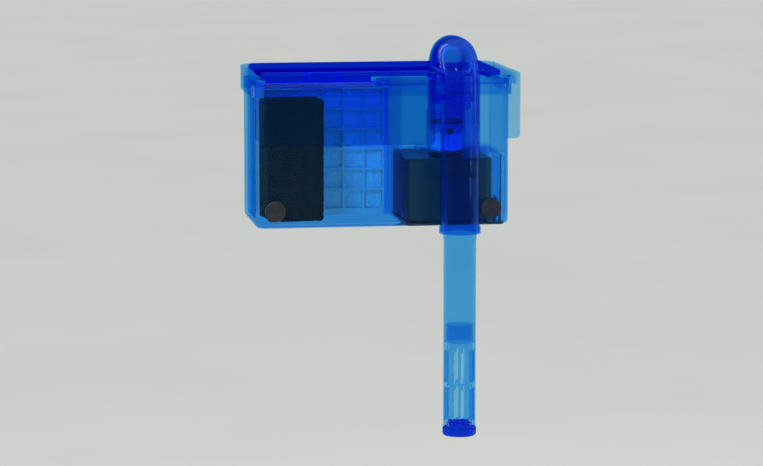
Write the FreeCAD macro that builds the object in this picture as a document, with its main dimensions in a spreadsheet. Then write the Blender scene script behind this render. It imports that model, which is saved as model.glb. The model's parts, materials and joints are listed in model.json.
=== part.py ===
import FreeCAD, Part
import Sketcher
import math
import os
import re
from FreeCAD import Placement, Rotation, Vector

# A small hang-on-back aquarium filter. Millimetres, +Z up.
# X runs along the tank's back wall, X = 0 at the filter's middle.
# Y = 0 is the middle of the tank's glass, -Y is the water side, +Y is outside the tank.
# Z = 0 is the top edge of the glass, where the hanger rests.
DIMENSIONS = (
    # hanger frame: the collar round the box, with the hooks that go over the glass
    ("frame_half", 52.0, "half the width over both ends"),
    ("frame_front", 3.6, "face beside the glass"),
    ("frame_back", 50.6, "rear face"),
    ("frame_top", 4.8, "top of the rim"),
    ("skirt_bottom", -5.0, "lower edge of the collar"),
    ("skirt_wall", 1.2, "collar wall"),
    ("bond_gap", 0.05, "glue line and other fixed gaps"),
    ("left_border", 3.2, "width of the rim at the left end"),
    ("right_border", 5.4, "width of the rim at the right end"),
    ("frame_round", 0.6, "rounded top edges of the rim"),
    ("back_border", 2.0, "width of the rim at the back"),
    ("lid_seat", 3.0, "height of the ledge under the lid"),
    ("seat_width", 1.5, "width of that ledge"),
    ("weir_top", 1.2, "top of the overflow edge"),
    ("weir_inset", 2.6, "overflow's left end from the rim"),
    ("weir_right", -4.5, "right end of the overflow"),
    ("plate_front", -5.0, "front edge of the plate over the glass"),
    ("saddle_top", 2.4, "plate and wall under the intake tube"),
    ("hook_front", -9.0, "water side of the hooks"),
    ("hook_wall", 2.4, "thickness of a hook's leg"),
    ("hook_bottom", -21.0, "lower end of the hooks"),
    ("hook_web", 1.6, "outer web of a hook"),
    ("hook_round", 2.0, "rounded corners of a hook"),
    ("hook_roof", 2.0, "thickness of a hook's roof"),
    ("hook_lap", 5.5, "overlap of hook and collar"),
    # overflow apron on the water side
    ("apron_left", -48.4, "left end"),
    ("apron_right", 18.3, "right end, beside the intake"),
    ("apron_back", -7.0, "face towards the glass"),
    ("apron_wall", 1.8, "plate thickness"),
    ("apron_bottom", -23.0, "lower edge"),
    ("apron_fall", 0.9, "fall from the overflow to the nose"),
    ("apron_round", 0.6, "slanted front top edge"),
    # box that holds the water
    ("box_bottom", -57.0, "underside"),
    ("box_wall", 1.8, "wall and floor"),
    ("box_corner", 4.4, "vertical corners"),
    ("box_round", 2.4, "bottom edges"),
    ("bay_wall_left", 7.6, "media side of the wall beside the motor bay"),
    ("bay_floor", -28.0, "floor of the pump bay"),
    ("rail_depth", 2.6, "cartridge rail on the left wall"),
    ("rail_wall", 1.0, "thickness of a rail"),
    ("bumper_x", 43.0, "rubber buffers from the middle"),
    ("bumper_z", -50.0, "height of the buffers"),
    ("bumper_face", 3.0, "outer face of the glass"),
    ("bumper_radius", 4.0, "buffer head"),
    ("bumper_stem", 1.5, "buffer stem"),
    ("boss_x", 46.4, "base screws"),
    ("boss_y_front", 12.0, "front base screw"),
    ("boss_y_back", 42.0, "rear base screw"),
    ("boss_radius", 1.95, "screw boss"),
    ("pilot_radius", 0.9, "hole for a screw's thread"),
    ("screw_length", 10.0, "base screw"),
    ("screw_head", 1.9, "radius of a screw's head"),
    ("head_height", 0.6, "height of a screw's head"),
    ("cross_half", 1.1, "half the length of the cross in a head"),
    ("cross_wide", 0.4, "width and depth of the cross"),
    # lid
    ("lid_side_gap", 0.3, "play round the lid"),
    ("lid_wall", 2.1, "thickness"),
    ("lid_front", 1.0, "front edge, over the overflow"),
    ("lid_round", 0.7, "top edges"),
    ("lid_corner", 2.5, "corners"),
    ("lid_rib", 2.0, "depth of the rib under the lid"),
    ("rib_wall", 1.2, "thickness of that rib"),
    ("rib_front", 12.0, "front end of the rib"),
    ("lip_bottom", 0.4, "lower edge of the splash lip behind the overflow"),
    ("notch_gap", 0.75, "play between lid and intake tube"),
    # intake tube
    ("pump_x", 27.0, "axis of tube, pump and impeller"),
    ("leg_y", 15.5, "each leg from the middle of the glass"),
    ("tube_radius", 7.7, "outside"),
    ("tube_bore", 5.8, "inside, bend and rear leg"),
    ("bend_radius", 11.0, "centre line of both bends"),
    ("bend_base", 0.0, "height where the legs become bends"),
    ("leg_bottom", -57.0, "lower end of the front leg"),
    ("leg_bore", 6.7, "front leg below the valve"),
    ("leg_bore_top", -14.0, "top of that wider bore"),
    ("bead_extra", 0.4, "bead round the leg's end"),
    ("bead_height", 2.4, "height of the bead"),
    ("rear_end", -12.0, "shoulder of the rear leg"),
    ("spigot_radius", 6.9, "spigot below the shoulder"),
    ("spigot_end", -20.0, "lower end of the spigot"),
    ("ring_section", 0.38, "half the thickness of the intake seal"),
    ("ring_groove", 0.75, "depth of the seal's groove"),
    # flow valve in the front leg
    ("valve_z", -4.0, "spindle height"),
    ("disc_radius", 5.5, "valve disc"),
    ("disc_wall", 1.0, "disc thickness"),
    ("spindle_radius", 1.1, "spindle"),
    ("spindle_gap", 0.06, "play round the spindle"),
    ("spindle_boss", 2.6, "boss on the tube"),
    ("boss_out", 1.6, "boss length outside the tube"),
    ("lever_wall", 1.5, "lever thickness"),
    ("lever_tip_z", 4.6, "top of the upright lever"),
    ("lever_half", 1.4, "half the width of the lever"),
    # telescopic extension, strainer and end cap
    ("extension_radius", 6.62, "sliding part"),
    ("extension_plain", 6.4, "part below the leg"),
    ("extension_bore", 5.45, "inside"),
    ("extension_top", -36.0, "upper end"),
    ("extension_step", -60.0, "where the sliding part ends"),
    ("extension_bottom", -100.0, "lower end"),
    ("strainer_spigot", 5.37, "spigot inside the extension"),
    ("spigot_length", 7.0, "length of the spigot"),
    ("strainer_bore", 4.3, "inside of the strainer"),
    ("strainer_bottom", -134.0, "lower end"),
    ("slot_width", 1.1, "strainer slot"),
    ("slot_length", 12.5, "strainer slot"),
    ("slot_pitch", 15.0, "one row of slots to the next"),
    ("slot_count", 12, "slots in a row"),
    ("cap_bottom", -137.0, "underside of the end cap"),
    ("cap_extra", 0.2, "cap rim beyond the strainer"),
    ("cap_plug", 4.25, "plug inside the strainer"),
    # motor unit in the bay under the pump
    ("motor_half", 17.2, "half its width"),
    ("motor_front", 7.2, "front face"),
    ("motor_back", 46.2, "rear face"),
    ("motor_top", -30.4, "top face"),
    ("motor_bottom", -55.0, "open underside"),
    ("motor_wall", 1.6, "wall"),
    ("motor_corner", 3.0, "vertical corners"),
    ("neck_radius", 7.42, "neck through the box floor"),
    ("neck_top", -28.1, "top of the neck"),
    ("neck_hole", 7.5, "hole in the box floor"),
    ("neck_groove", 6.85, "bottom of the seal's groove"),
    ("well_radius", 5.5, "rotor well"),
    ("well_wall", 1.0, "wall round the well"),
    ("well_bottom", -51.6, "inside bottom of the well"),
    ("core_half", 14.5, "half the width of the iron core"),
    ("core_front", 9.6, "tips of the core"),
    ("core_back", 41.0, "back of the core"),
    ("core_leg", 6.4, "width of a leg and of the back limb"),
    ("core_z", -42.5, "middle of the core"),
    ("core_half_height", 5.0, "half the stack's height"),
    ("pole_back", 22.0, "rear end of the pole shoes"),
    ("pole_bore", 6.8, "round the rotor well"),
    ("pole_mouth", 2.2, "half the gap between the pole tips"),
    ("core_sheets", 10, "plates in the core"),
    ("bobbin_wall", 0.8, "bobbin"),
    ("bobbin_half", 7.6, "half its length"),
    ("bobbin_flange", 3.1, "flange beyond the core"),
    ("coil_wall", 2.1, "thickness of the winding"),
    ("gland_x", 15.8, "cord inlet"),
    ("gland_z", -49.0, "cord inlet"),
    ("gland_radius", 4.2, "gland flange"),
    ("gland_neck", 3.2, "gland in the motor wall"),
    ("gland_lip", 3.45, "lip inside the motor"),
    ("gland_bore", 2.2, "hole for the cord"),
    ("gland_end", 50.4, "outer end"),
    ("gland_slot", 5.0, "half the width of the slot in the box"),
    ("pad_height", 0.75, "rubber pads under the motor"),
    ("pad_radius", 2.5, "rubber pads"),
    ("plate_wall", 1.2, "base plate"),
    # shaft, rotor and impeller
    ("shaft_radius", 1.0, "ceramic shaft"),
    ("shaft_gap", 0.05, "running play on the shaft"),
    ("shaft_top", -20.2, "upper end"),
    ("bush_radius", 4.4, "lower rubber bush"),
    ("bush_height", 1.6, "lower rubber bush"),
    ("magnet_radius", 5.0, "rotor magnet"),
    ("magnet_bore", 2.4, "hole in the magnet"),
    ("magnet_bottom", -49.4, "lower end"),
    ("magnet_top", -35.6, "upper end"),
    ("blade_radius", 6.3, "impeller"),
    ("blade_wall", 0.9, "blade"),
    ("blade_top", -22.2, "top of the blades"),
    ("blade_count", 6, "blades"),
    ("impeller_base", -27.6, "underside of the disc"),
    ("impeller_disc", 0.8, "disc"),
    ("impeller_hub", 2.3, "stem through the magnet"),
    # impeller cover
    ("cover_radius", 8.4, "outside"),
    ("cover_bore", 7.2, "chamber"),
    ("cover_roof", -21.2, "ceiling of the chamber"),
    ("cover_shelf", -20.0, "seat above the ceiling"),
    ("inlet_radius", 5.0, "inlet hole"),
    ("collar_bore", 6.98, "socket for the spigot"),
    ("hub_radius", 2.8, "holder of the upper bush"),
    ("upper_bush", 2.1, "upper bush"),
    ("spoke_wall", 1.0, "spokes"),
    ("nozzle_half", 3.2, "half the width of the outlet"),
    ("nozzle_wall", 0.9, "outlet wall"),
    ("nozzle_end", 29.0, "end of the outlet"),
    ("nozzle_top", -22.4, "top of the outlet"),
    ("ear_reach", 11.0, "bayonet ears from the axis"),
    ("ear_half", 2.2, "half the width of an ear"),
    ("ear_wall", 1.4, "ear thickness"),
    ("claw_wall", 1.3, "claws that hold the ears"),
    ("claw_reach", 1.5, "hold of a claw over its ear"),
    ("ear_play", 0.3, "play between ear and claw"),
    # divider, cartridge and foam
    ("divider_right", 7.4, "face towards the pump"),
    ("divider_wall", 1.2, "plate"),
    ("divider_top", 2.2, "upper edge"),
    ("divider_back", 39.4, "rear edge"),
    ("cartridge_left", -46.2, "left end"),
    ("cartridge_right", 5.6, "right end"),
    ("cartridge_front", 30.0, "front face"),
    ("cartridge_depth", 8.0, "front to back"),
    ("cartridge_bottom", -54.8, "lower edge"),
    ("cartridge_top", -2.0, "upper edge"),
    ("cartridge_rim", 1.6, "frame round the media"),
    ("cartridge_grid", 1.0, "bars"),
    ("grille_border", 2.4, "edge round the windows"),
    ("grille_windows", 6, "windows along each side"),
    ("tab_top", 2.0, "top of the pull tab"),
    ("tab_half", 8.0, "half the tab's width"),
    ("floss_depth", 2.7, "floss pad"),
    ("carbon_depth", 2.4, "carbon pad"),
    ("media_gap", 0.3, "play round soft media"),
    ("foam_right", -22.8, "right side"),
    ("foam_front", 7.4, "front"),
    ("foam_back", 25.0, "rear"),
    ("foam_top", -6.0, "top"),
)

doc = FreeCAD.newDocument("HangOnBackFilter")
sheet = doc.addObject("Spreadsheet::Sheet", "Dims")
for row, (alias, value, meaning) in enumerate(DIMENSIONS, start=1):
    sheet.set("A%d" % row, alias)
    sheet.set("B%d" % row, str(value))
    sheet.set("C%d" % row, meaning)
    sheet.setAlias("B%d" % row, alias)
doc.recompute()
ALIASES = {alias for alias, value, meaning in DIMENSIONS}
DIRECTIONS = {
    "X": Rotation(Vector(0, 1, 0), 90),
    "Y": Rotation(Vector(1, 0, 0), -90),
    "Z": Rotation(),
}
nodes = []


# ---- small vocabulary shared by all sub-parts ----
# A shape that cuts runs 1 mm or so past what it cuts, and shapes that are joined overlap by 0.3 to 1 mm.

def size(alias):
    return float(sheet.get(alias))


def formula(text):
    """A formula in plain words, with every dimension pointed at its cell."""
    return re.sub(r"[a-z_]+", lambda word: "Dims." + word[0] if word[0] in ALIASES else word[0], str(text))


def bind(thing, **formulas):
    for name, text in formulas.items():
        thing.setExpression(name.replace("__", "."), formula(text))


def place(thing, x, y, z, turn=None):
    if turn:
        thing.Placement = Placement(Vector(), turn)
    bind(thing, Placement__Base__x=x, Placement__Base__y=y, Placement__Base__z=z)


def node(thing, label):
    """Make a finished sub-part one of the nodes that are written out."""
    thing.Label = label
    nodes.append(thing)
    return thing


def span(ends):
    return "(%s) - (%s)" % (ends[1], ends[0])


def around(centre, half):
    """The two ends of a stretch with its middle at a centre."""
    return "%s - (%s)" % (centre, half), "%s + (%s)" % (centre, half)


def beside(centre, side, near, far):
    """The two ends of a stretch on one side (-1 or 1) of a centre, by their distances from it."""
    ends = ["%s + (%d) * (%s)" % (centre, side, distance) for distance in (near, far)]
    return ends if side > 0 else ends[::-1]


def block(x, y, z, name="Block"):
    """A plain block between two ends along each axis."""
    box = doc.addObject("Part::Box", name)
    bind(box, Length=span(x), Width=span(y), Height=span(z))
    place(box, x[0], y[0], z[0])
    return box


def rod(centre, radius, ends, axis="Z", name="Rod"):
    """A cylinder along an axis; centre gives the other two coordinates in X, Y, Z order."""
    cylinder = doc.addObject("Part::Cylinder", name)
    bind(cylinder, Radius=radius, Height=span(ends))
    base = list(centre)
    base.insert("XYZ".index(axis), ends[0])
    place(cylinder, *base, turn=DIRECTIONS[axis])
    return cylinder


def ring(centre, radius, section, z, name="Ring"):
    """A round sealing ring that lies flat."""
    torus = doc.addObject("Part::Torus", name)
    bind(torus, Radius1=radius, Radius2=section)
    place(torus, centre[0], centre[1], z)
    return torus


def fuse(*things, name="Fused"):
    union = doc.addObject("Part::MultiFuse", name)
    union.Shapes = list(things)
    union.Refine = True
    return union


def cut(base, *tools, name="Cut"):
    difference = doc.addObject("Part::Cut", name)
    difference.Base = base
    difference.Tool = tools[0] if len(tools) == 1 else fuse(*tools, name=name + "Tools")
    difference.Refine = True
    return difference


def group(*things, name="Group"):
    """Identical loose pieces that share one node."""
    compound = doc.addObject("Part::Compound", name)
    compound.Links = list(things)
    return compound


# ---- sketches and features of a PartDesign body ----

def new_body(name):
    return doc.addObject("PartDesign::Body", name)


def new_sketch(body, plane="XY_Plane", offset="0"):
    sketch = body.newObject("Sketcher::SketchObject", body.Name + "Sketch")
    support = [item for item in body.Origin.OriginFeatures if item.Role == plane][0]
    sketch.AttachmentSupport = [(support, "")]
    sketch.MapMode = "FlatFace"
    bind(sketch, AttachmentOffset__Base__z=offset)
    return sketch


def fix_point(sketch, geometry, corner, label, x, y):
    """Tie a point of the sketch to two formulas, measured from the sketch's origin."""
    for kind, tag, text in (("DistanceX", "x", x), ("DistanceY", "y", y)):
        number = sketch.addConstraint(Sketcher.Constraint(kind, -1, 1, geometry, corner, 1.0))
        sketch.renameConstraint(number, tag + label)
        sketch.setExpression("Constraints." + tag + label, formula(text))


def outline(sketch, points):
    """A closed outline with straight sides through points given as formulas."""
    count = len(points)
    angles = [2 * math.pi * i / count for i in range(count)]
    seeds = [Vector(10 * math.cos(angle), 10 * math.sin(angle), 0) for angle in angles]
    first = sketch.GeometryCount
    for i in range(count):
        sketch.addGeometry(Part.LineSegment(seeds[i], seeds[(i + 1) % count]))
    for i in range(count):
        sketch.addConstraint(Sketcher.Constraint("Coincident", first + i, 2, first + (i + 1) % count, 1))
    for i, (x, y) in enumerate(points):
        fix_point(sketch, first + i, 1, "p%d" % (first + i), x, y)
    return sketch


def rectangle(sketch, x, y):
    return outline(sketch, [(x[0], y[0]), (x[1], y[0]), (x[1], y[1]), (x[0], y[1])])


def feature(body, kind, sketch, **settings):
    step = body.newObject("PartDesign::" + kind, body.Name + kind)
    step.Profile = sketch
    for name, value in settings.items():
        if name in ("Length", "Angle"):
            bind(step, **{name: value})
        else:
            setattr(step, name, value)
    sketch.Visibility = False
    doc.recompute()
    return step


def pad(body, sketch, length):
    return feature(body, "Pad", sketch, Length=length)


def pocket(body, sketch, length, upward=False):
    """Cut a sketch into the body and make sure that something was cut."""
    before = body.Shape.Volume
    step = feature(body, "Pocket", sketch, Length=length, Reversed=upward)
    if body.Shape.Volume > before - 1e-3:
        raise RuntimeError("the pocket in %s removed nothing" % body.Name)
    return step


def lathe(body, sketch, kind="Revolution"):
    return feature(body, kind, sketch, ReferenceAxis=(sketch, ["V_Axis"]), Angle="360")


def soften(body, radius, wanted):
    """Round the edges of the body that a test picks out."""
    base = body.Tip
    edges = base.Shape.Edges
    names = ["Edge%d" % (i + 1) for i, edge in enumerate(edges) if wanted(edge)]
    if not names:
        raise RuntimeError("no edge to round on %s" % body.Name)
    step = body.newObject("PartDesign::Fillet", body.Name + "Fillet")
    step.Base = (base, names)
    bind(step, Radius=radius)
    doc.recompute()
    return step


def repeat_round(body, original, count):
    """Repeat a feature round the body's own Z axis."""
    pattern = body.newObject("PartDesign::PolarPattern", body.Name + "Pattern")
    pattern.Originals = [original]
    pattern.Axis = ([item for item in body.Origin.OriginFeatures if item.Role == "Z_Axis"][0], [""])
    pattern.Angle = 360
    bind(pattern, Occurrences=count)
    body.Tip = pattern
    doc.recompute()
    return pattern


def upright(edge):
    """True for a straight edge along Z."""
    start, end = edge.Vertexes[0].Point, edge.Vertexes[-1].Point
    return abs(end.z - start.z) > 1e-3 and math.hypot(end.x - start.x, end.y - start.y) < 1e-6


def level(height):
    """A test for edges that lie wholly at one height."""
    return lambda edge: all(abs(vertex.Z - height) < 1e-4 for vertex in edge.Vertexes)


def plain_body(name, x, y, z):
    """A block as a body, to which more can be done."""
    body = new_body(name)
    pad(body, rectangle(new_sketch(body, offset=z[0]), x, y), span(z))
    return body


def rounded_block(name, x, y, z, corner):
    """A block with rounded upright corners, as a body."""
    body = plain_body(name, x, y, z)
    soften(body, corner, upright)
    return body


def turned(name, points, centre=None):
    """A solid of revolution; points are radius and height about the body's own axis."""
    body = new_body(name)
    lathe(body, outline(new_sketch(body, "XZ_Plane"), points))
    if centre:
        place(body, centre[0], centre[1], "0")
    return body


# ---- places that several sub-parts share ----

PUMP_AXIS = ("pump_x", "leg_y")
LEG_AXIS = ("pump_x", "-leg_y")
SPINDLE_AXIS = ("-leg_y", "valve_z")
# each is a formula in brackets, so that it can stand after a minus sign
BOX_HALF = "(frame_half - skirt_wall - bond_gap)"
BOX_FRONT = "(frame_front + skirt_wall + bond_gap)"
BOX_BACK = "(frame_back - skirt_wall - bond_gap)"
INNER_HALF = "(%s - box_wall)" % BOX_HALF
INNER_FRONT = "(%s + box_wall)" % BOX_FRONT
INNER_BACK = "(%s - box_wall)" % BOX_BACK
BAY_LEFT = "(bay_wall_left + box_wall)"
OPENING_LEFT = "(left_border - frame_half)"
OPENING_RIGHT = "(frame_half - right_border)"
CARTRIDGE_BACK = "(cartridge_front + cartridge_depth)"


# ---- housing ----

def box_shell():
    """Outside of the box, with its two upper chambers and the dry bay underneath."""
    outer = "-" + BOX_HALF, BOX_HALF
    deep = INNER_FRONT, INNER_BACK
    body = rounded_block("BoxBody", outer, (BOX_FRONT, BOX_BACK), ("box_bottom", "0"), "box_corner")
    soften(body, "box_round", level(size("box_bottom")))
    media = rectangle(new_sketch(body), ("-" + INNER_HALF, "bay_wall_left"), deep)
    pocket(body, media, "-box_bottom - box_wall")
    pump = rectangle(new_sketch(body), ("bay_wall_left - 1", INNER_HALF), deep)
    pocket(body, pump, "-bay_floor")
    motor = rectangle(new_sketch(body, offset="box_bottom"), (BAY_LEFT, INNER_HALF), deep)
    pocket(body, motor, "bay_floor - box_wall - box_bottom", upward=True)
    return body


def ear_claws():
    """Two hooks on the bay's floor, under which the pump cover's ears turn."""
    y = around("leg_y", "ear_half")
    under = "bay_floor + ear_wall + ear_play"
    top = under + " + claw_wall"
    outer = "ear_reach + ear_play + claw_wall"
    claws = []
    for side in (-1, 1):
        post = beside("pump_x", side, "ear_reach + ear_play", outer)
        claw = beside("pump_x", side, "ear_reach - claw_reach", outer)
        claws.append(block(post, y, ("bay_floor - 0.5", top)))
        claws.append(block(claw, y, (under, top)))
    return claws


def filter_box():
    """Open box: media chamber on the left, pump bay on the right with a dry motor bay under it."""
    added = ear_claws()
    holes = [rod(PUMP_AXIS, "neck_hole", around("bay_floor", "5"))]
    for rail in ("cartridge_front - media_gap - rail_wall", CARTRIDGE_BACK + " + media_gap"):
        added.append(block(("-%s - 0.5" % INNER_HALF, "-%s + rail_depth + 0.9" % INNER_HALF),
                           (rail, rail + " + rail_wall"), ("box_bottom + box_wall - 0.5", "-1")))
    boss_base = "box_bottom + plate_wall + 0.2"
    for boss_y in ("boss_y_front", "boss_y_back"):
        centre = "boss_x", boss_y
        added.append(rod(centre, "boss_radius", (boss_base, "bay_floor - 0.5")))
        holes.append(rod(centre, "pilot_radius", ("box_bottom", boss_base + " + screw_length")))
    for side in ("-bumper_x", "bumper_x"):
        holes.append(rod((side, "bumper_z"), "bumper_stem", (BOX_FRONT + " - 1", INNER_FRONT + " + 1"), "Y"))
    holes.append(block(around("gland_x", "gland_slot"), (INNER_BACK + " - 1", BOX_BACK + " + 1"),
                       ("box_bottom - 1", "gland_z + gland_slot")))
    node(cut(fuse(box_shell(), *added, name="BoxWalls"), *holes, name="FilterBox"), "filter_box")


def collar():
    """Rim round the top of the box, open in the middle, with the overflow cut in its front."""
    corner = "box_corner + skirt_wall"
    across = OPENING_LEFT, OPENING_RIGHT
    front_wall = "frame_front - 1", INNER_FRONT + " + 1"
    back = "frame_back - back_border"
    body = rounded_block("CollarBody", ("-frame_half", "frame_half"), ("frame_front", "frame_back"),
                         ("skirt_bottom", "frame_top"), corner)
    soften(body, "frame_round", level(size("frame_top")))
    room = rounded_block("CollarRoom", around("0", BOX_HALF + " + bond_gap"),
                         ("frame_front + skirt_wall", "frame_back - skirt_wall"),
                         ("skirt_bottom - 1", "bond_gap"), "box_corner")
    clear = block(across, (INNER_FRONT, back + " - seat_width"), ("-1", "lid_seat + 1"))
    recess = block(across, ("frame_front - 1", back), ("lid_seat", "frame_top + 1"))
    weir = block((OPENING_LEFT + " + weir_inset", "weir_right"), front_wall, ("weir_top", "lid_seat + 1"))
    saddle = block(around("pump_x", "tube_radius + notch_gap"), front_wall,
                   ("saddle_top - 0.5", "lid_seat + 1"))
    return cut(body, room, clear, recess, weir, saddle, name="CollarWalls")


def hook(name, x, web):
    """Leg behind the glass's water side, with a roof and an outer web that join it to the collar."""
    def outer_corner(edge):
        ends = edge.Vertexes[0], edge.Vertexes[-1]
        return (all(abs(end.X) > size("frame_half") - 0.01 for end in ends)
                and abs(ends[0].Z - ends[1].Z) < 1e-4)

    leg = plain_body(name, x, ("hook_front", "hook_front + hook_wall"), ("hook_bottom", "frame_top"))
    soften(leg, "hook_round", outer_corner)
    reach = "hook_front + 0.5", "frame_front + hook_lap"
    roof = block(x, reach, ("frame_top - hook_roof", "frame_top"))
    side = block(web, reach, ("0", "frame_top"))
    return leg, roof, side


def hanger_frame():
    """Collar bonded round the top of the box, with the plate and the two hooks over the glass."""
    over_glass = "plate_front", "frame_front + 1"
    plates = [block((OPENING_LEFT + " - 1", "weir_right + 1"), over_glass, ("0", "weir_top")),
              block(("weir_right", "apron_right"), over_glass, ("0", "lid_seat")),
              block(("apron_right - 1", OPENING_RIGHT + " + 1"), over_glass, ("0", "saddle_top"))]
    left = hook("LeftHook", ("-frame_half", OPENING_LEFT), ("-frame_half", "hook_web - frame_half"))
    right = hook("RightHook", (OPENING_RIGHT, "frame_half"), ("frame_half - hook_web", "frame_half"))
    node(fuse(collar(), *plates, *left, *right, name="HangerFrame"), "hanger_frame")


def spillway_apron():
    """Plate that leads the overflowing water down the inside of the glass, and closes the front beside it."""
    nose = "(apron_back - apron_wall)"
    back = "(plate_front - bond_gap)"
    lip = "(weir_top - apron_fall)"
    behind_nose = nose + " + apron_round"
    fall = [(back, "0"), (back, "weir_top"), (behind_nose, lip + " + 0.1"), (nose, lip + " - apron_round"),
            (nose, "apron_bottom"), ("apron_back", "apron_bottom"), ("apron_back", lip + " - 1.2"),
            ("apron_back + 0.5", "0")]
    raised = [(back, "0"), (back, "lid_seat"), (behind_nose, "lid_seat"), (nose, "lid_seat - apron_round"),
              (nose, lip + " - 1"), ("apron_back", lip + " - 1"), ("apron_back + 0.5", "0")]
    parts = []
    for name, profile, x in (("ApronFall", fall, ("apron_left", "apron_right")),
                             ("ApronRaised", raised, ("weir_right", "apron_right"))):
        body = new_body(name)
        pad(body, outline(new_sketch(body, "YZ_Plane", x[0]), profile), span(x))
        parts.append(body)
    node(fuse(*parts, name="SpillwayApron"), "spillway_apron")


def glass_bumpers():
    """Two rubber buffers that hold the lower edge off the glass."""
    pieces = []
    for side in ("-bumper_x", "bumper_x"):
        head = rod((side, "bumper_z"), "bumper_radius", ("bumper_face", BOX_FRONT), "Y")
        stem = rod((side, "bumper_z"), "bumper_stem - bond_gap", (BOX_FRONT + " - 0.5", INNER_FRONT), "Y")
        pieces.append(fuse(head, stem, name="Bumper"))
    node(group(*pieces, name="GlassBumpers"), "glass_bumpers")


def lid():
    """Flat lid with a rib, a splash lip behind the overflow and a slot for the intake tube."""
    x = OPENING_LEFT + " + lid_side_gap", OPENING_RIGHT + " - lid_side_gap"
    back = "(frame_back - back_border - lid_side_gap)"
    height = "lid_seat", "lid_seat + lid_wall"
    through = around("lid_seat", "5")
    plate = rounded_block("LidPlate", x, ("lid_front", back), height, "lid_corner")
    soften(plate, "lid_round", level(size("lid_seat") + size("lid_wall")))
    slot_radius = "(tube_radius + notch_gap)"
    slot = fuse(rod(PUMP_AXIS, slot_radius, through),
                block(around("pump_x", slot_radius), ("lid_front - 5", "leg_y"), through), name="LidSlot")
    inset = "(seat_width + 0.6)"
    rib_x = x[0] + " + " + inset, x[1] + " - " + inset
    rib_back = back + " - " + inset
    rim = cut(block(rib_x, ("rib_front", rib_back), ("lid_seat - lid_rib", "lid_seat + 0.3")),
              block((rib_x[0] + " + rib_wall", rib_x[1] + " - rib_wall"), ("0", rib_back + " - rib_wall"),
                    ("lid_seat - lid_rib - 1", "lid_seat + 1")), name="LidRib")
    lip_front = INNER_FRONT + " + 0.6"
    lip = block((OPENING_LEFT + " + weir_inset", "weir_right"), (lip_front, lip_front + " + rib_wall"),
                ("lip_bottom", "lid_seat + 0.3"))
    node(cut(fuse(plate, rim, lip, name="LidSolid"), slot, name="Lid"), "lid")


def chamber_divider():
    """Plate between media chamber and pump bay, with the right-hand rails of the cartridge."""
    left = "divider_right - divider_wall"
    foot = "box_bottom + box_wall + 0.1"
    parts = [block((left, "divider_right"), (INNER_FRONT + " + 0.2", "divider_back"), (foot, "divider_top"))]
    for rail in ("cartridge_front - media_gap - rail_wall", CARTRIDGE_BACK + " + media_gap"):
        parts.append(block((left + " - 2.2", left + " + 0.3"), (rail, rail + " + rail_wall"), (foot, "-1")))
    node(fuse(*parts, name="ChamberDivider"), "chamber_divider")


def base_screw(centre):
    """Countersunk screw with a cross in its head, upside down under the base plate."""
    x, y = centre
    head = "box_bottom + 0.1", "box_bottom + 0.1 + head_height"
    shank = "box_bottom + 0.3", "box_bottom + 0.4 + screw_length"
    body = fuse(rod(centre, "screw_head", head), rod(centre, "pilot_radius - 0.02", shank), name="ScrewBody")
    depth = "box_bottom", "box_bottom + cross_wide"
    arms = [block(around(x, "cross_wide / 2"), around(y, "cross_half"), depth),
            block(around(x, "cross_half"), around(y, "cross_wide / 2"), depth)]
    return cut(body, *arms, name="Screw")


def base_plate():
    """Plate that closes the motor bay from below, with its two countersunk screws."""
    top = "box_bottom + plate_wall"
    plate = rounded_block("PlateBody", (BAY_LEFT + " + 0.4", INNER_HALF + " - 0.3"),
                          (INNER_FRONT + " + 0.3", INNER_BACK + " - 0.3"), ("box_bottom", top), "1.5")
    centres = [("boss_x", "boss_y_front"), ("boss_x", "boss_y_back")]
    holes = [block(around("gland_x", "gland_slot"), (INNER_BACK + " - 3", INNER_BACK + " + 1"),
                   ("box_bottom - 1", top + " + 1"))]
    for centre in centres:
        holes.append(rod(centre, "pilot_radius + 0.3", ("box_bottom - 1", top + " + 1")))
        holes.append(rod(centre, "screw_head + 0.1", ("box_bottom - 1", "box_bottom + 0.1 + head_height")))
    node(cut(plate, *holes, name="BasePlate"), "base_plate")
    node(group(*[base_screw(centre) for centre in centres], name="BaseScrews"), "base_screws")


# ---- motor ----

def motor_housing():
    """Potted motor case: open underneath, with the rotor well and its neck on top."""
    x = around("pump_x", "motor_half")
    case = rounded_block("CaseBody", x, ("motor_front", "motor_back"), ("motor_bottom", "motor_top"),
                         "motor_corner")
    soften(case, "1.0", level(size("motor_top")))
    room = rounded_block("CaseRoom", around("pump_x", "motor_half - motor_wall"),
                         ("motor_front + motor_wall", "motor_back - motor_wall"),
                         ("motor_bottom - 1", "motor_top - motor_wall"), "motor_corner - motor_wall - 0.6")
    well = rod(PUMP_AXIS, "well_radius + well_wall", ("well_bottom - well_wall", "motor_top - 0.5"))
    neck = rod(PUMP_AXIS, "neck_radius", ("motor_top - 0.5", "neck_top"))
    bore = rod(PUMP_AXIS, "well_radius", ("well_bottom", "neck_top + 1"))
    groove = cut(rod(PUMP_AXIS, "neck_radius + 1", ("motor_top + 0.75", "motor_top + 1.75")),
                 rod(PUMP_AXIS, "neck_groove", ("motor_top", "motor_top + 3")), name="NeckGroove")
    inlet = rod(("gland_x", "gland_z"), "gland_neck + bond_gap", ("motor_back - 4", "motor_back + 1"), "Y")
    shell = fuse(cut(case, room, name="CaseShell"), well, neck, name="CaseWell")
    node(cut(shell, bore, groove, inlet, name="MotorHousing"), "motor_housing")
    seal_radius = "(neck_groove + neck_radius) / 2 + 0.02"
    node(ring(PUMP_AXIS, seal_radius, "0.27", "motor_top + 1.25", "NeckSeal"), "neck_seal")


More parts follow.
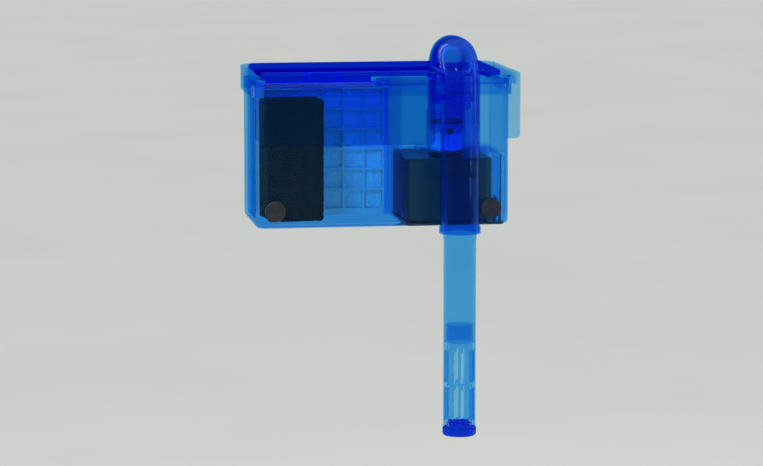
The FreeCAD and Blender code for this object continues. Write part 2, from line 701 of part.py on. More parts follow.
def core_outline(z, name):
    """The core's shape between two heights: a U whose arms are pole shoes round the rotor well."""
    through = z[0] + " - 1", z[1] + " + 1"
    yoke = block(around("pump_x", "core_half"), ("core_front", "core_back"), z)
    window = block(around("pump_x", "core_half - core_leg"), ("pole_back", "core_back - core_leg"), through)
    mouth = block(around("pump_x", "pole_mouth"), ("core_front - 1", "pole_back + 1"), through)
    return cut(yoke, window, mouth, rod(PUMP_AXIS, "pole_bore", through), name=name)


def stator():
    """Laminated core round the rotor well, with a coil on its back limb."""
    sheets = int(size("core_sheets"))
    pitch = "(2 * core_half_height / core_sheets)"
    pieces = []
    for i in range(sheets):
        low = "core_z - core_half_height + %d * %s" % (i, pitch)
        pieces.append(core_outline((low, low + " + " + pitch + " - bond_gap"), "Lamination"))
    node(group(*pieces, name="StatorCore"), "stator_core")

    limb_y = "core_back - core_leg - 0.15", "core_back + 0.15"
    limb_z = "core_z - core_half_height - 0.15", "core_z + core_half_height + 0.15"
    long = "pump_x - bobbin_half", "pump_x + bobbin_half"
    sleeve = block(long, (limb_y[0] + " - bobbin_wall", limb_y[1] + " + bobbin_wall"),
                   (limb_z[0] + " - bobbin_wall", limb_z[1] + " + bobbin_wall"))
    flanges = [block(x, (limb_y[0] + " - bobbin_flange", limb_y[1] + " + bobbin_flange"),
                     (limb_z[0] + " - bobbin_flange", limb_z[1] + " + bobbin_flange"))
               for x in ((long[0], long[0] + " + bobbin_wall"), (long[1] + " - bobbin_wall", long[1]))]
    limb = block((long[0] + " - 1", long[1] + " + 1"), limb_y, limb_z)
    node(cut(fuse(sleeve, *flanges, name="BobbinSolid"), limb, name="CoilBobbin"), "coil_bobbin")

    inner = "(bobbin_wall + 0.05)"
    winding = new_body("MotorCoil")
    outside = "(%s + coil_wall)" % inner
    turn = new_sketch(winding, "YZ_Plane", long[0] + " + bobbin_wall + 0.1")
    rectangle(turn, (limb_y[0] + " - " + outside, limb_y[1] + " + " + outside),
              (limb_z[0] + " - " + outside, limb_z[1] + " + " + outside))
    pad(winding, turn, span(long) + " - 2 * bobbin_wall - 0.2")
    soften(winding, "coil_wall - 0.3", lambda edge: abs(edge.Vertexes[0].X - edge.Vertexes[-1].X) > 1)
    core = block((long[0], long[1]), (limb_y[0] + " - " + inner, limb_y[1] + " + " + inner),
                 (limb_z[0] + " - " + inner, limb_z[1] + " + " + inner))
    node(cut(winding, core, name="CoilWinding"), "motor_coil")


def potting_resin():
    """Resin that fills the motor case round core, coil and rotor well."""
    clear = "(motor_wall + 0.1)"
    block_of_resin = rounded_block("ResinBody", around("pump_x", "motor_half - " + clear),
                                   ("motor_front + " + clear, "motor_back - " + clear),
                                   ("motor_bottom + 0.1", "motor_top - " + clear),
                                   "motor_corner - motor_wall")
    core_ends = around("core_z", "core_half_height + 0.05")
    core = core_outline(core_ends, "CoreRoom")
    reach = "(bobbin_flange + 0.25)"
    coil = block(around("pump_x", "bobbin_half + 0.1"),
                 ("core_back - core_leg - " + reach, "motor_back - motor_wall"),
                 (core_ends[0] + " - " + reach, core_ends[1] + " + " + reach))
    well = rod(PUMP_AXIS, "well_radius + well_wall + 0.05", ("well_bottom - well_wall - 0.05", "motor_top"))
    gland = "gland_x", "gland_z"
    lip = rod(gland, "gland_lip + 0.1", ("motor_back - motor_wall - 1.4", "motor_back"), "Y")
    lead = rod(gland, "gland_bore + 0.3", ("motor_back - motor_wall - 3", "motor_back"), "Y")
    node(cut(block_of_resin, core, coil, well, lip, lead, name="PottingResin"), "potting_resin")


def cable_gland():
    """Rubber gland in the motor's rear wall, where the cord enters; it ends just outside the box."""
    y_wall = "motor_back - motor_wall", "motor_back"
    centre = "gland_x", "gland_z"
    inner = rod(centre, "gland_lip", (y_wall[0] + " - 1.2", y_wall[0] + " - bond_gap"), "Y")
    neck = rod(centre, "gland_neck", (y_wall[0] + " - 0.5", y_wall[1] + " + 0.5"), "Y")
    outer = rod(centre, "gland_radius", (y_wall[1] + " + bond_gap", "gland_end"), "Y")
    bore = rod(centre, "gland_bore", (y_wall[0] + " - 3", "gland_end + 1"), "Y")
    node(cut(fuse(inner, neck, outer, name="GlandSolid"), bore, name="CableGland"), "cable_gland")


def motor_pads():
    """Rubber pads between motor and base plate."""
    foot = "box_bottom + plate_wall"
    pads = []
    for x in around("pump_x", "motor_half - 4"):
        for y in ("motor_front + 4", "motor_back - 4"):
            pads.append(rod((x, y), "pad_radius", (foot, foot + " + pad_height")))
    node(group(*pads, name="MotorPads"), "motor_pads")


# ---- rotor and pump ----

def shaft_and_bushes():
    """Shaft that stands still, held in a rubber bush at each end."""
    shaft = rod(PUMP_AXIS, "shaft_radius", ("well_bottom + 0.4", "shaft_top"), name="ImpellerShaft")
    node(shaft, "impeller_shaft")
    bore = "shaft_radius + bond_gap"
    foot, top = "well_bottom + 0.05", "well_bottom + bush_height"
    lower = [(bore, foot), ("bush_radius + 0.9", foot), ("bush_radius", top), (bore, top)]
    node(turned("LowerBush", lower, PUMP_AXIS), "lower_bush")
    roof, end = "cover_roof + 0.1", "cover_shelf + 0.6"
    upper = [(bore, roof), ("upper_bush", roof), ("upper_bush", end), (bore, end)]
    node(turned("UpperBush", upper, PUMP_AXIS), "upper_bush")


def rotor():
    """Ring magnet on the impeller's stem."""
    edge = "magnet_radius - 0.5"
    ring_section = [("magnet_bore", "magnet_bottom"), (edge, "magnet_bottom"),
                    ("magnet_radius", "magnet_bottom + 0.5"), ("magnet_radius", "magnet_top - 0.5"),
                    (edge, "magnet_top"), ("magnet_bore", "magnet_top")]
    node(turned("RotorMagnet", ring_section, PUMP_AXIS), "rotor_magnet")
    body = new_body("Impeller")
    bore, hub, disc = "shaft_radius + shaft_gap", "impeller_hub", "blade_radius - 0.4"
    foot, disc_top, top = "magnet_bottom - 0.3", "impeller_base + impeller_disc", "blade_top + 0.4"
    profile = [(bore, foot), (hub, foot), (hub, "magnet_top + 0.1"), (hub + " + 1", "magnet_top + 0.6"),
               (hub + " + 0.6", "impeller_base - 1.5"), (hub + " + 1.4", "impeller_base"),
               (disc, "impeller_base"), (disc, disc_top), (hub, disc_top), (hub, top), (bore, top)]
    lathe(body, outline(new_sketch(body, "XZ_Plane"), profile))
    blade = rectangle(new_sketch(body, offset="impeller_base + 0.2"), ("impeller_hub - 0.6", "blade_radius"),
                      ("-blade_wall / 2", "blade_wall / 2"))
    repeat_round(body, pad(body, blade, "blade_top - impeller_base - 0.2"), "blade_count")
    place(body, *PUMP_AXIS, "0")
    node(body, "impeller")


def inlet_hole():
    """Ring-shaped inlet in the pump chamber's ceiling, crossed by four spokes that hold the bush."""
    x, y = PUMP_AXIS
    deep = "cover_roof - 2", "cover_shelf + 2"
    long, narrow = "inlet_radius + 1", "spoke_wall / 2"
    return cut(rod(PUMP_AXIS, "inlet_radius", ("cover_roof - 1", "cover_shelf + 1")),
               rod(PUMP_AXIS, "hub_radius", deep),
               block(around(x, long), around(y, narrow), deep),
               block(around(x, narrow), around(y, long), deep), name="InletHole")


def impeller_cover():
    """Pump chamber with a side outlet, the socket for the intake and two bayonet ears."""
    low = "bay_floor + bond_gap"
    shell = rod(PUMP_AXIS, "cover_radius", (low, "rear_end - 0.1"))
    outlet_x = "(pump_x + cover_bore - nozzle_half)"
    nozzle = block(around(outlet_x, "nozzle_half + nozzle_wall"), ("leg_y", "nozzle_end"),
                   (low, "nozzle_top + nozzle_wall"))
    ears = block(around("pump_x", "ear_reach"), around("leg_y", "ear_half - 0.3"),
                 (low, "bay_floor + ear_wall"))
    chamber = rod(PUMP_AXIS, "cover_bore", (low + " - 1", "cover_roof"))
    socket = rod(PUMP_AXIS, "collar_bore", ("cover_shelf", "rear_end + 1"))
    passage = block(around(outlet_x, "nozzle_half"), ("leg_y", "nozzle_end + 1"),
                    (low + " + nozzle_wall", "nozzle_top"))
    bush_hole = rod(PUMP_AXIS, "upper_bush + bond_gap", ("cover_roof - 1", "cover_shelf + 2"))
    solid = fuse(shell, nozzle, ears, name="CoverSolid")
    hollow = cut(solid, chamber, socket, passage, inlet_hole(), bush_hole, name="ImpellerCover")
    node(hollow, "impeller_cover")


# ---- intake ----

def bent_tube(radius, front_end, rear_end):
    """Solid U of one radius: two legs, two bends and the straight piece between them."""
    flat = "(leg_y - bend_radius)"
    top = "bend_base + bend_radius"
    pieces = [rod(LEG_AXIS, radius, (front_end, "bend_base")),
              rod(PUMP_AXIS, radius, (rear_end, "bend_base")),
              rod(("pump_x", top), radius, ("-" + flat, flat), "Y")]
    into_plane = Rotation(Vector(1, 1, 1), 120)
    for side, turn in (("-" + flat, Rotation(Vector(1, 0, 0), 90) * into_plane), (flat, into_plane)):
        bend = doc.addObject("Part::Torus", "Bend")
        bind(bend, Radius1="bend_radius", Radius2=radius)
        bend.Angle3 = 90
        place(bend, "pump_x", side, "bend_base", turn)
        pieces.append(bend)
    return fuse(*pieces, name="BentTube")


def intake_tube():
    """U tube over the glass, with a spigot for the pump, a valve boss and a bead round its mouth."""
    tube = bent_tube("tube_radius", "leg_bottom", "rear_end")
    bead = rod(LEG_AXIS, "tube_radius + bead_extra", ("leg_bottom", "leg_bottom + bead_height"))
    spigot = rod(PUMP_AXIS, "spigot_radius", ("spigot_end", "rear_end + 1"))
    wall = "pump_x - tube_radius"
    boss = rod(SPINDLE_AXIS, "spindle_boss", (wall + " - boss_out", wall + " + 1"), "X")
    bore = bent_tube("tube_bore", "leg_bottom - 1", "spigot_end - 1")
    wide = rod(LEG_AXIS, "leg_bore", ("leg_bottom - 1", "leg_bore_top"))
    groove = cut(rod(PUMP_AXIS, "spigot_radius + 1", ("rear_end - 5", "rear_end - 3.9")),
                 rod(PUMP_AXIS, "spigot_radius - ring_groove", ("rear_end - 6", "rear_end")),
                 name="SpigotGroove")
    hole = rod(SPINDLE_AXIS, "spindle_radius + spindle_gap", (wall + " - 4", "pump_x"), "X")
    solid = fuse(tube, bead, spigot, boss, name="TubeSolid")
    node(cut(solid, bore, wide, groove, hole, name="IntakeTube"), "intake_tube")
    seal_radius = "spigot_radius - ring_groove + ring_section"
    node(ring(PUMP_AXIS, seal_radius, "ring_section", "rear_end - 4.45", "IntakeSeal"), "intake_seal")


def flow_valve():
    """Lever with its spindle outside the tube, and the disc that it turns inside."""
    outside = "pump_x - tube_radius - boss_out - 0.3"
    arm_x = outside + " - lever_wall", outside
    rim = "pump_x - disc_radius"
    hub = rod(SPINDLE_AXIS, "spindle_boss - 0.2", arm_x, "X")
    arm = block(arm_x, around("-leg_y", "lever_half"), ("valve_z", "lever_tip_z"))
    tip = rod(("-leg_y", "lever_tip_z"), "lever_half", (outside + " - lever_wall - 1.2", outside), "X")
    spindle = rod(SPINDLE_AXIS, "spindle_radius", (outside + " - 0.5", rim + " + 2.5"), "X")
    node(fuse(hub, arm, tip, spindle, name="FlowLever"), "flow_lever")
    plate = rod(("pump_x", "valve_z"), "disc_radius", around("-leg_y", "disc_wall / 2"), "Y")
    spine = rod(SPINDLE_AXIS, "spindle_radius + 0.7", around("pump_x", "disc_radius - 1"), "X")
    hole = rod(SPINDLE_AXIS, "spindle_radius + 0.02", (rim + " - 1", rim + " + 2.6"), "X")
    node(cut(fuse(plate, spine, name="DiscSolid"), hole, name="ValveDisc"), "valve_disc")


def extension_tube():
    """Tube that telescopes in the front leg."""
    profile = [("extension_bore", "extension_bottom"), ("extension_plain", "extension_bottom"),
               ("extension_plain", "extension_step"), ("extension_radius", "extension_step + 0.5"),
               ("extension_radius", "extension_top - 0.4"), ("extension_radius - 0.4", "extension_top"),
               ("extension_bore", "extension_top")]
    node(turned("ExtensionTube", profile, LEG_AXIS), "extension_tube")


def strainer():
    """Slotted strainer with its spigot, and the cap that closes it."""
    body = new_body("Strainer")
    outside = "extension_plain"
    shoulder = "extension_bottom - 0.05"
    profile = [("strainer_bore", "strainer_bottom"), (outside, "strainer_bottom"), (outside, shoulder),
               ("strainer_spigot", shoulder), ("strainer_spigot", "extension_bottom + spigot_length"),
               ("strainer_bore", "extension_bottom + spigot_length")]
    lathe(body, outline(new_sketch(body, "XZ_Plane"), profile))
    for row in range(2):
        start = "strainer_bottom + 3 + %d * slot_pitch" % row
        opening = rectangle(new_sketch(body, "YZ_Plane", "strainer_bore - 1"), around("0", "slot_width / 2"),
                            (start, start + " + slot_length"))
        slot = pocket(body, opening, "6", upward=True)
        repeat_round(body, slot, "slot_count")
    place(body, *LEG_AXIS, "0")
    node(body, "strainer")
    rim = "extension_plain + cap_extra"
    join = "strainer_bottom - 0.05"
    plug_top = "strainer_bottom + 2.4"
    cap = [("0", "cap_bottom"), (rim + " - 0.6", "cap_bottom"), (rim, "cap_bottom + 0.6"), (rim, join),
           ("cap_plug", join), ("cap_plug", plug_top), ("0", plug_top)]
    node(turned("StrainerCap", cap, LEG_AXIS), "strainer_cap")


# ---- filter media ----

def bars(ends):
    """Where the windows lie along one side of a grille: the low end of each, and their width."""
    count = int(size("grille_windows"))
    wide = "((%s - 2 * grille_border - (grille_windows - 1) * cartridge_grid) / grille_windows)" % span(ends)
    lows = ["%s + grille_border + %d * (%s + cartridge_grid)" % (ends[0], i, wide) for i in range(count)]
    return lows, wide


def grille(x, y, z, name):
    """A thin plate pierced by a grid of windows."""
    lefts, wide = bars(x)
    lows, tall = bars(z)
    through = y[0] + " - 1", y[1] + " + 1"
    windows = [block((left, left + " + " + wide), through, (low, low + " + " + tall))
               for left in lefts for low in lows]
    return cut(block(x, y, z), *windows, name=name)


def pull_tab():
    """Loop by which the cartridge is pulled out."""
    middle = "(cartridge_left + cartridge_right) / 2"
    return cut(block(around(middle, "tab_half"), around("cartridge_front + 4", "1"),
                     ("cartridge_top - 0.5", "tab_top")),
               block(around(middle, "tab_half - 2"), around("cartridge_front + 4", "2"),
                     ("cartridge_top + 1", "tab_top - 1.2")), name="PullTab")


def cartridge():
    """Two-part frame with a floss pad in front and a carbon pad behind it."""
    x = "cartridge_left", "cartridge_right"
    z = "cartridge_bottom", "cartridge_top"
    front = "cartridge_front", "cartridge_front + cartridge_grid"
    back = CARTRIDGE_BACK + " - cartridge_grid - 0.2", CARTRIDGE_BACK + " - 0.2"
    room_x = "cartridge_left + cartridge_rim", "cartridge_right - cartridge_rim"
    room_z = "cartridge_bottom + cartridge_rim", "cartridge_top - cartridge_rim"
    edge = cut(block(x, (front[1] + " - 0.3", CARTRIDGE_BACK), z),
               block(room_x, (front[0] + " - 1", CARTRIDGE_BACK + " + 1"), room_z), name="CartridgeEdge")
    node(fuse(grille(x, front, z, "FrontGrille"), edge, pull_tab(), name="CartridgeFrame"), "cartridge_frame")
    inset = [(ends[0] + " + 0.15", ends[1] + " - 0.15") for ends in (room_x, room_z)]
    node(grille(inset[0], back, inset[1], "CartridgeBack"), "cartridge_back")
    soft = [(ends[0] + " + media_gap", ends[1] + " - media_gap") for ends in (room_x, room_z)]
    floss = front[1] + " + media_gap"
    carbon = floss + " + floss_depth + media_gap"
    node(block(soft[0], (floss, floss + " + floss_depth"), soft[1], "FlossPad"), "floss_pad")
    node(block(soft[0], (carbon, carbon + " + carbon_depth"), soft[1], "CarbonPad"), "carbon_pad")


def foam_block():
    node(block(("cartridge_left + 0.2", "foam_right"), ("foam_front", "foam_back"),
               ("box_bottom + box_wall + 0.2", "foam_top"), "FoamBlock"), "foam_block")


for build in (filter_box, hanger_frame, spillway_apron, glass_bumpers, lid, chamber_divider, base_plate,
              motor_housing, stator, potting_resin, cable_gland, motor_pads, shaft_and_bushes, rotor,
              impeller_cover, intake_tube, flow_valve, extension_tube, strainer, cartridge, foam_block):
    build()
doc.recompute()

failed = [item.Name for item in doc.Objects if "Invalid" in item.State or "Error" in item.State]
if failed:
    raise RuntimeError("failed objects: " + ", ".join(failed))
for item in nodes:
    if item.Shape.isNull() or not item.Shape.isValid() or not item.Shape.Solids:
        raise RuntimeError("bad shape: " + item.Label)

os.makedirs("parts", exist_ok=True)
for item in nodes:
    item.Shape.exportStep("parts/%s.step" % item.Label)
    print("%-18s %2d solid(s)  %9.1f mm3" % (item.Label, len(item.Shape.Solids), item.Shape.Volume))
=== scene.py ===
import json

import bmesh
import bpy
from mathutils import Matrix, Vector, noise


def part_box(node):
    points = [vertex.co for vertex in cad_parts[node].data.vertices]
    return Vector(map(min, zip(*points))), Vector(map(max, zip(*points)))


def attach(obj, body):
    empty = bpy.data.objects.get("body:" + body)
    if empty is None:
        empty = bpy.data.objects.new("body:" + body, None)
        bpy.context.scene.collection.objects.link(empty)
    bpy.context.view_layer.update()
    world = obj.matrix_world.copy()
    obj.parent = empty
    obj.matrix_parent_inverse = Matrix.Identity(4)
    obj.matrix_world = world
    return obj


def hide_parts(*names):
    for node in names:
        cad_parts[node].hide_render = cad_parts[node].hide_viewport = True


# A small hang-on-back aquarium filter. Metres, the CAD model's own frame:
# +X along the glass, -Y the water side, +Z up, the origin on the top edge of the glass.

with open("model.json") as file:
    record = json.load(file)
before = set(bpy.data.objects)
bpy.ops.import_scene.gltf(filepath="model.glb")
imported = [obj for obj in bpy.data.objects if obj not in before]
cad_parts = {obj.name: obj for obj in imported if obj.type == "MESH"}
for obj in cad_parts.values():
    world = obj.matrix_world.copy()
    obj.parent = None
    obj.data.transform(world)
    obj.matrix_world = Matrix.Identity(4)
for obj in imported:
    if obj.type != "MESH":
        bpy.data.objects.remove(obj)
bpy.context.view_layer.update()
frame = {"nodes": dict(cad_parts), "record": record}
MM = 0.001

BOUNCES = 48       # a straight look through the filter crosses some thirty faces of clear plastic


# ---- node helpers ----

def sockets_of(sockets, kind):
    return [socket for socket in sockets if socket.type == kind]


class Shader:
    """One material's node tree, with short names for what the materials here need."""

    def __init__(self, name, **sockets):
        self.material = bpy.data.materials.new(name)
        self.material.use_nodes = True
        self.tree = self.material.node_tree
        self.surface = self.tree.nodes["Principled BSDF"]
        self.output = self.tree.nodes["Material Output"]
        self.place = self.add("ShaderNodeTexCoord").outputs["Object"]
        for socket, value in sockets.items():
            self.surface.inputs[socket.replace("_", " ")].default_value = value

    def add(self, kind, links=None, **settings):
        node = self.tree.nodes.new(kind)
        for name, value in settings.items():
            setattr(node, name, value)
        for socket, source in (links or {}).items():
            self.feed(node.inputs[socket], source)
        return node

    def feed(self, socket, source):
        if isinstance(source, bpy.types.NodeSocket):
            self.tree.links.new(source, socket)
        else:
            socket.default_value = source

    def stretched(self, scale):
        """The object's own coordinates, in cells per metre along each axis."""
        mapping = self.add("ShaderNodeMapping", {"Vector": self.place})
        mapping.inputs["Scale"].default_value = scale if hasattr(scale, "__len__") else (scale,) * 3
        return mapping.outputs["Vector"]

    def noise(self, scale, detail=4.0, rough=0.55, warp=0.0):
        links = {"Vector": self.stretched(scale), "Scale": 1.0}
        links.update({"Detail": detail, "Roughness": rough, "Distortion": warp})
        return self.add("ShaderNodeTexNoise", links).outputs["Fac"]

    def cells(self, scale):
        links = {"Vector": self.stretched(scale), "Scale": 1.0}
        return self.add("ShaderNodeTexVoronoi", links).outputs["Distance"]

    def ramp(self, source, low, high, start=0.3, end=0.7):
        """Numbers or colours between two ends, as the source goes from start to end."""
        if hasattr(low, "__len__"):
            node = self.add("ShaderNodeMix", data_type="RGBA", clamp_factor=True)
            first, second = sockets_of(node.inputs, "RGBA")
            first.default_value = (*low, 1.0)
            second.default_value = (*high, 1.0)
            self.feed(node.inputs["Factor"], self.ramp(source, 0.0, 1.0, start, end))
            return sockets_of(node.outputs, "RGBA")[0]
        links = {"Value": source, "From Min": start, "From Max": end, "To Min": low, "To Max": high}
        return self.add("ShaderNodeMapRange", links).outputs["Result"]

    def times(self, first, second):
        return self.add("ShaderNodeMath", {0: first, 1: second}, operation="MULTIPLY").outputs["Value"]

    def mixed(self, factor, first, second):
        return self.add("ShaderNodeMixShader", {0: factor, 1: first, 2: second}).outputs["Shader"]

    def bump(self, height, depth, strength=1.0, under=None):
        links = {"Height": height, "Distance": depth, "Strength": strength}
        if under is not None:
            links["Normal"] = under
        return self.add("ShaderNodeBump", links).outputs["Normal"]

    def set(self, **sources):
        for socket, source in sources.items():
            self.feed(self.surface.inputs[socket.replace("_", " ")], source)
        return self


# ---- materials ----

def clear_plastic(name, tint, deep, haze, body, bend, depth=None):
    """Glossy see-through plastic: faint flow marks of moulding, and a thin haze of handling.

    tint and deep are the wall's colour between and inside the flow marks; haze is its roughness;
    body is its cloudy share; bend is its index of refraction; depth is a colour and a density that
    add tint with the length of the way through it."""
    film = (*[channel ** 0.5 for channel in tint], 1.0)
    m = Shader(name, IOR=bend, Transmission_Weight=1.0 - body, Specular_Tint=film,
               Coat_Weight=0.05, Coat_Roughness=0.05, Coat_Tint=film)
    flow = m.noise((26, 26, 70), 3.0, 0.5, 0.6)
    m.set(Base_Color=m.ramp(flow, tint, deep, 0.35, 0.75))
    m.set(Roughness=m.ramp(m.noise(180, 5.0), haze * 0.6, haze * 1.9, 0.35, 0.75))
    soft = m.bump(m.noise((45, 45, 80), 2.0), 0.25 * MM, 0.25)
    m.set(Normal=m.bump(m.noise(900, 2.0), 0.02 * MM, 0.25, soft))
    # seen along the surface it stays see-through, where bare glass would turn into a mirror
    clear = m.add("ShaderNodeBsdfTransparent", {"Color": film}).outputs["BSDF"]
    facing = m.add("ShaderNodeLayerWeight", {"Blend": 0.5}).outputs["Facing"]
    along = m.ramp(facing, 0.0, 1.0, 0.35, 0.8)
    skin = m.mixed(along, m.surface.outputs["BSDF"], clear)
    # lamps shine through it, so that what it holds is lit
    lamp = m.add("ShaderNodeLightPath").outputs["Is Shadow Ray"]
    m.feed(m.output.inputs["Surface"], m.mixed(lamp, skin, clear))
    if depth:
        colour, density = depth
        volume = m.add("ShaderNodeVolumeAbsorption", {"Color": (*colour, 1.0), "Density": density})
        m.feed(m.output.inputs["Volume"], volume.outputs["Volume"])
    return m.material


def soft_media(name, colour, light, grain, size, fuzz, roughness=0.95):
    """Fibrous or porous filter medium; its open surface mirrors next to nothing, and its pores carry painted
    shade.
    """
    m = Shader(name, IOR=1.4, Specular_IOR_Level=0.08, Sheen_Weight=fuzz, Sheen_Roughness=0.7)
    cell = m.cells(size)
    # painted shade: darkest where the cell bump sinks into pores, with a random tone from the noise on top
    m.set(Base_Color=m.ramp(m.times(cell, m.noise(size * 0.4, 5.0)), colour, light, 0.1, 0.5))
    m.set(Roughness=m.ramp(m.noise(size, 3.0), roughness * 0.85, roughness))
    fine = m.bump(m.noise(size * 3.0, 5.0, 0.7), grain * MM * 0.4, 0.7)
    m.set(Normal=m.bump(cell, grain * MM, 0.8, fine))
    return m.material


def solid_plastic(name, colour, worn, roughness, grain=0.05):
    """Opaque moulded plastic with a fine spark-eroded texture."""
    m = Shader(name, IOR=1.5)
    m.set(Base_Color=m.ramp(m.noise(55, 4.0), colour, worn, 0.3, 0.8))
    m.set(Roughness=m.ramp(m.noise(240, 4.0), roughness * 0.85, roughness * 1.2))
    m.set(Normal=m.bump(m.noise(2600, 3.0), grain * MM, 0.6))
    return m.material


def rubber(name, colour, dusty):
    """Dull rubber with a film of dust in patches."""
    m = Shader(name, IOR=1.5, Specular_IOR_Level=0.25, Sheen_Weight=0.04, Sheen_Roughness=0.6)
    m.set(Base_Color=m.ramp(m.noise(120, 6.0, 0.65), colour, dusty, 0.45, 0.85))
    m.set(Roughness=m.ramp(m.noise(400, 4.0), 0.55, 0.8))
    m.set(Normal=m.bump(m.noise(1800, 4.0), 0.05 * MM, 0.7))
    return m.material


def metal(name, colour, stain, roughness, scratch):
    """Bare metal with fine tool marks along one direction."""
    m = Shader(name, Metallic=1.0)
    m.set(Base_Color=m.ramp(m.noise(150, 5.0), colour, stain, 0.35, 0.8))
    m.set(Roughness=m.ramp(m.noise(scratch, 3.0), roughness * 0.7, roughness * 1.4))
    m.set(Normal=m.bump(m.noise(scratch, 4.0), 0.02 * MM, 0.5))
    return m.material


# what the walls are tinted with over their thickness: colour, and density per metre
LIGHT_DEPTH = ((0.08, 0.62, 0.97), 75.0)
TUBE_DEPTH = ((0.09, 0.58, 0.97), 300.0)

MATERIALS = {
    "light_blue_plastic": clear_plastic("clear_light_blue", (0.33, 0.73, 0.98), (0.29, 0.70, 0.97),
                                        0.03, 0.004, 1.14, LIGHT_DEPTH),
    "mid_blue_plastic": clear_plastic("clear_mid_blue", (0.07, 0.47, 0.80), (0.05, 0.44, 0.78),
                                      0.03, 0.004, 1.14),
    "deep_blue_plastic": clear_plastic("clear_deep_blue", (0.003, 0.05, 0.80), (0.002, 0.04, 0.74),
                                       0.03, 0.08, 1.18),
    "black_plastic": solid_plastic("moulded_black", (0.012, 0.013, 0.016), (0.03, 0.03, 0.035), 0.38),
    "white_plastic": solid_plastic("moulded_white", (0.74, 0.77, 0.78), (0.66, 0.68, 0.67), 0.42),
    "black_rubber": rubber("soft_black_rubber", (0.012, 0.013, 0.016), (0.030, 0.032, 0.036)),
    "black_resin": solid_plastic("potting_resin_black", (0.01, 0.01, 0.011), (0.02, 0.02, 0.022), 0.18, 0.12),
    "iron": metal("stator_iron", (0.30, 0.30, 0.31), (0.17, 0.15, 0.14), 0.42, (300, 300, 4000)),
    "copper_wire": metal("enamelled_copper", (0.66, 0.27, 0.10), (0.48, 0.18, 0.07), 0.25, (3000, 300, 300)),
    "steel": metal("ground_steel", (0.62, 0.63, 0.64), (0.50, 0.50, 0.50), 0.22, (2000, 2000, 300)),
    "magnet": metal("sintered_magnet", (0.09, 0.09, 0.095), (0.05, 0.05, 0.05), 0.5, (900, 900, 900)),
    "black_foam": soft_media("open_cell_foam", (0.003, 0.003, 0.004), (0.012, 0.012, 0.014), 0.5, 700, 0.02),
    "black_carbon": soft_media("carbon_felt", (0.006, 0.006, 0.006), (0.035, 0.035, 0.036), 0.4, 900, 0.05),
    "white_floss": soft_media("fibre_floss", (0.72, 0.78, 0.80), (0.90, 0.93, 0.94), 0.25, 1400, 0.25),
}

# intake and valve are moulded in the lid's blue, but clearer, and deeper along a longer way through
TUBE = clear_plastic("clear_tube_blue", (0.08, 0.52, 0.95), (0.06, 0.49, 0.94), 0.03, 0.0, 1.16, TUBE_DEPTH)
TUBE_NODES = ("intake_tube", "valve_disc")


def paint_cad_nodes():
    slots = {part["node"]: part["material_slot"] for part in frame["record"]["subparts"]}
    for name, piece in frame["nodes"].items():
        if slots[name] in MATERIALS:
            piece.data.materials.clear()
            piece.data.materials.append(TUBE if name in TUBE_NODES else MATERIALS[slots[name]])


paint_cad_nodes()


# ---- soft filter media ----

def skin_quads(counts):
    """The quads of a box's skin as grid indices, and whether each lies on the far side of its axis."""
    for axis in range(3):
        u, v = (axis + 1) % 3, (axis + 2) % 3
        for side in (0, counts[axis]):
            for i in range(counts[u]):
                for j in range(counts[v]):
                    quad = []
                    for du, dv in ((0, 0), (1, 0), (1, 1), (0, 1)):
                        index = [0, 0, 0]
                        index[axis], index[u], index[v] = side, i + du, j + dv
                        quad.append(tuple(index))
                    yield quad, side > 0


def round_and_shape(mesh, low, high, corner, skin):
    """Rounds the box's edges, then moves each point by what skin(point, normal) says."""
    for vert in mesh.verts:
        core = Vector([min(max(vert.co[i], low[i] + corner), high[i] - corner) for i in range(3)])
        out = vert.co - core
        normal = out.normalized()
        vert.co = core + normal * corner if out.length > 1e-9 else vert.co
        vert.co += skin(vert.co.copy(), normal)


def soft_box(name, node, step, corner, skin):
    """A block the size of a CAD node, with round corners and a finely divided skin."""
    low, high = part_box(node)
    size = high - low
    counts = [max(2, round(length / step)) for length in size]
    mesh = bmesh.new()
    known = {}
    for quad, far in skin_quads(counts):
        for index in quad:
            if index not in known:
                known[index] = mesh.verts.new([low[i] + size[i] * index[i] / counts[i] for i in range(3)])
        corners = [known[index] for index in quad]
        mesh.faces.new(corners if far else corners[::-1])
    round_and_shape(mesh, low, high, corner, skin)
    data = bpy.data.meshes.new(name)
    mesh.to_mesh(data)
    mesh.free()
    data.polygons.foreach_set("use_smooth", [True] * len(data.polygons))
    piece = bpy.data.objects.new(name, data)
    bpy.context.scene.collection.objects.link(piece)
    return piece


def nearest_cell(point, per_metre):
    """Distance to the middle of the nearest cell, in cells."""
    distances, _ = noise.voronoi(point * per_metre)
    return distances[0]


def foam_skin(point, normal):
    """Pores, deepest in the middle of each cell, on a slightly slumped block."""
    pore = -0.8 * MM * max(0.0, 1.0 - 1.8 * nearest_cell(point, 620))
    slump = 0.25 * MM * noise.noise(point * 90)
    return normal * (pore + slump - 0.3 * MM)


def floss_skin(point, normal):
    """Small tufts all over, and a shallow swell on the two broad faces."""
    tuft = 0.16 * MM * noise.noise(point * 700) + 0.12 * MM * noise.noise(point * 260)
    crown = 0.25 * MM * noise.noise(point * 60) if abs(normal.y) > 0.5 else 0.0
    return normal * (tuft + crown - 0.2 * MM)


def carbon_skin(point, normal):
    """Grains of carbon that stand out from the felt."""
    grain = 0.35 * MM * (0.5 - nearest_cell(point, 520))
    return normal * (grain + 0.1 * MM * noise.noise(point * 900) - 0.1 * MM)


def add_media(name, node, body, slot, step, corner, skin):
    piece = soft_box(name, node, step, corner, skin)
    piece.data.materials.append(MATERIALS[slot])
    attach(piece, body)
    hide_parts(node)


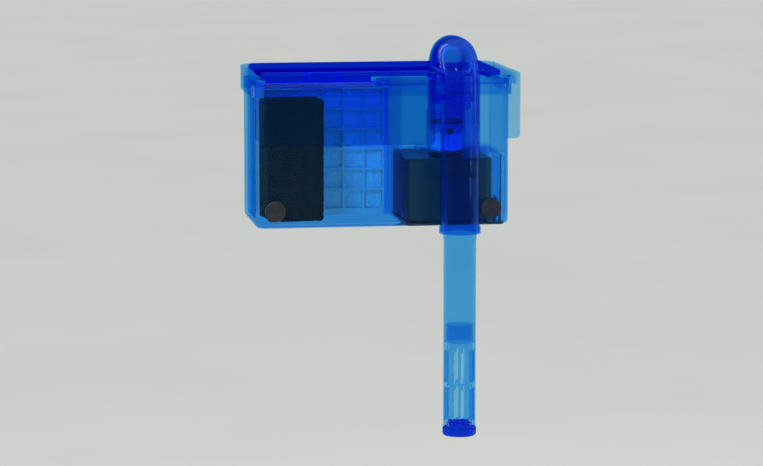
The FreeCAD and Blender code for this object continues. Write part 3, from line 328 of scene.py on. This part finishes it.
add_media("foam_sponge", "foam_block", "foam", "black_foam",
          step=0.5 * MM, corner=2.2 * MM, skin=foam_skin)
add_media("floss_sheet", "floss_pad", "cartridge", "white_floss",
          step=0.6 * MM, corner=0.8 * MM, skin=floss_skin)
add_media("carbon_sheet", "carbon_pad", "cartridge", "black_carbon",
          step=0.5 * MM, corner=0.6 * MM, skin=carbon_skin)


# ---- stage, lamps and camera ----

FLOOR_Z = -0.45
FLOOR_WIDTH = 60.0
LENS_MM = 150.0
SENSOR_MM = 36.0
CAMERA_PLACE = (-0.190, -1.2246, 0.1109)
CAMERA_AIM = (0.0, 0.010, -0.060)
# name, place, point it aims at, width and height, watts
LAMPS = (
    ("key", (-0.55, -0.75, 0.75), (0, 0, -0.03), (0.16, 0.16), 5.0),
    ("fill", (0.85, -0.55, 0.25), (0, 0, -0.05), (0.10, 0.9), 2.4),
    ("back", (-0.45, 0.95, 0.35), (0, 0, -0.03), (0.10, 0.9), 2.4),
    ("top", (0.0, 0.05, 0.95), (0, 0, 0), (0.7, 0.7), 1.6),
)


def turned_to(place, aim):
    """The rotation that points a lamp or camera at place towards aim."""
    return (Vector(aim) - Vector(place)).to_track_quat("-Z", "Y").to_euler()


def add_floor():
    bpy.ops.mesh.primitive_plane_add(size=FLOOR_WIDTH, location=(0, 0, FLOOR_Z))
    floor = bpy.context.object
    floor.name = "studio_floor"
    m = Shader("pale_floor", Specular_IOR_Level=0.2)
    m.set(Base_Color=m.ramp(m.noise(3.0, 3.0), (0.70, 0.71, 0.70), (0.73, 0.74, 0.73)))
    m.set(Roughness=m.ramp(m.noise(20.0, 3.0), 0.75, 0.9))
    floor.data.materials.append(m.material)


def add_lamp(name, place, aim, size, watts):
    light = bpy.data.lights.new(name, "AREA")
    light.shape = "RECTANGLE"
    light.size, light.size_y = size
    light.energy = watts
    lamp = bpy.data.objects.new(name, light)
    lamp.location = place
    lamp.rotation_euler = turned_to(place, aim)
    bpy.context.scene.collection.objects.link(lamp)


def add_world():
    world = bpy.data.worlds.new("soft_studio")
    world.use_nodes = True
    background = world.node_tree.nodes["Background"]
    background.inputs["Color"].default_value = (0.80, 0.81, 0.80, 1.0)
    background.inputs["Strength"].default_value = 1.0
    bpy.context.scene.world = world


def add_camera():
    lens = bpy.data.cameras.new("camera")
    lens.lens = LENS_MM
    lens.sensor_width = SENSOR_MM
    lens.clip_start = 0.05
    camera = bpy.data.objects.new("camera", lens)
    camera.location = CAMERA_PLACE
    camera.rotation_euler = turned_to(CAMERA_PLACE, CAMERA_AIM)
    bpy.context.scene.collection.objects.link(camera)
    bpy.context.scene.camera = camera


add_floor()
add_world()
for lamp in LAMPS:
    add_lamp(*lamp)
add_camera()
bpy.context.scene.view_settings.view_transform = "Standard"
bpy.context.scene.cycles.max_bounces = BOUNCES
bpy.context.scene.cycles.transmission_bounces = BOUNCES
bpy.context.scene.cycles.transparent_max_bounces = BOUNCES
